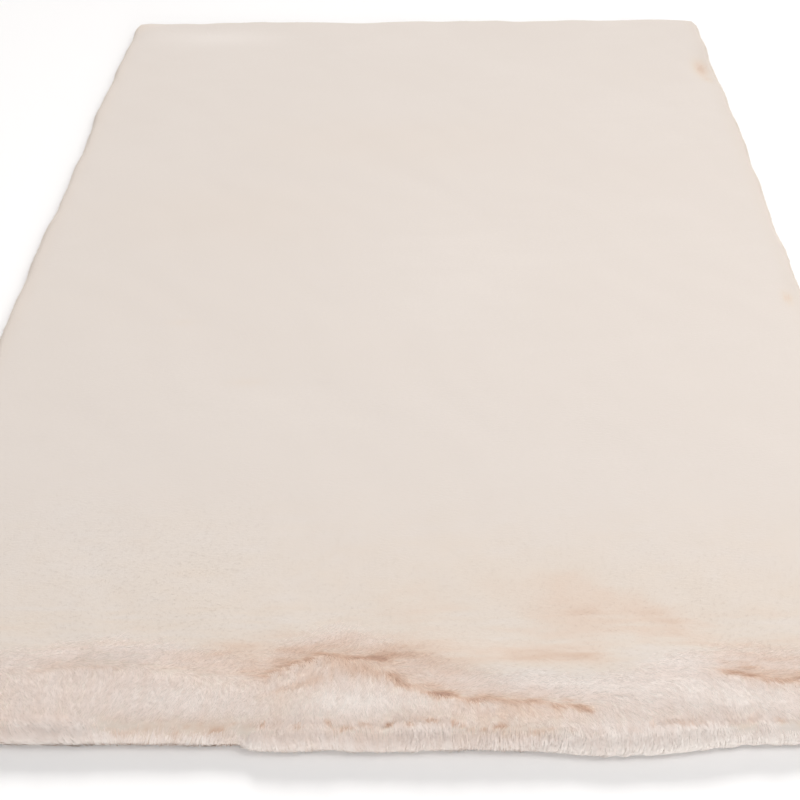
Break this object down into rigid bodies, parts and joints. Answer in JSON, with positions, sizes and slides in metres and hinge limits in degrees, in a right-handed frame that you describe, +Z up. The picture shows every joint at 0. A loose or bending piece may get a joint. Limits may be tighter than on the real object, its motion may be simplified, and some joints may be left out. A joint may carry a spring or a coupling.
{
  "type": "shag rug",
  "caption": "Rectangular faux-fur shag rug lying flat, with a dense lumpy pile, rounded corners and an uneven rim of soft fur locks.",
  "frame": {"origin": "middle of the level underside, on the floor", "axes": "+Z up out of the pile, +Y along the rug's length away from the ruffled short edge, +X to the right seen from that edge"},
  "size_m": [1.21, 1.712, 0.0308],
  "materials": {
    "fur": "long soft cream fur with tan roots, matt with a faint sheen"
  },
  "bodies": {
    "root": {"rug_pile": "fur"}
  },
  "joints": []
}
